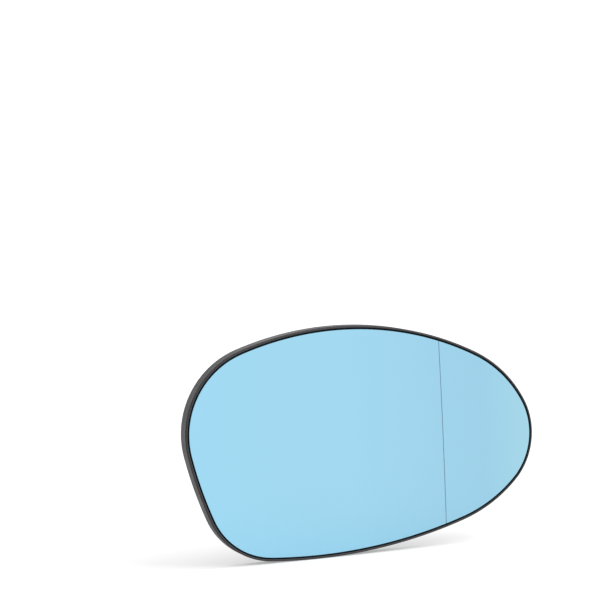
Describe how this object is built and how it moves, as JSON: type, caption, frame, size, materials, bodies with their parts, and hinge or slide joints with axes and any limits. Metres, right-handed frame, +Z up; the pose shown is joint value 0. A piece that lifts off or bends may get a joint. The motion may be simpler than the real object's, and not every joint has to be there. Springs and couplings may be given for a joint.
{
  "type": "car door mirror glass",
  "caption": "Domed, blue-tinted right-hand door mirror glass with an aspheric outboard zone, bonded with its heater mat into a thin black holder that snaps onto the mirror's adjuster.",
  "frame": {"origin": "centre of the rear snap socket, half way along the lands of its hooks", "axes": "+Y out of the back along the socket axis, so the glass faces -Y; +X outboard, towards the narrow end; +Z up as fitted"},
  "size_m": [0.1683, 0.0135, 0.1043],
  "materials": {
    "mirror_glass": "polished mirror with a light blue tint",
    "holder_plastic": "fine moulded grain, satin",
    "heater_foil": "satin film",
    "terminal_metal": "tinned"
  },
  "bodies": {
    "root": {"mirror_glass": "mirror_glass", "backing_plate": "holder_plastic", "heating_mat": "heater_foil", "heater_terminal_upper": "terminal_metal", "heater_terminal_lower": "terminal_metal"}
  },
  "joints": []
}
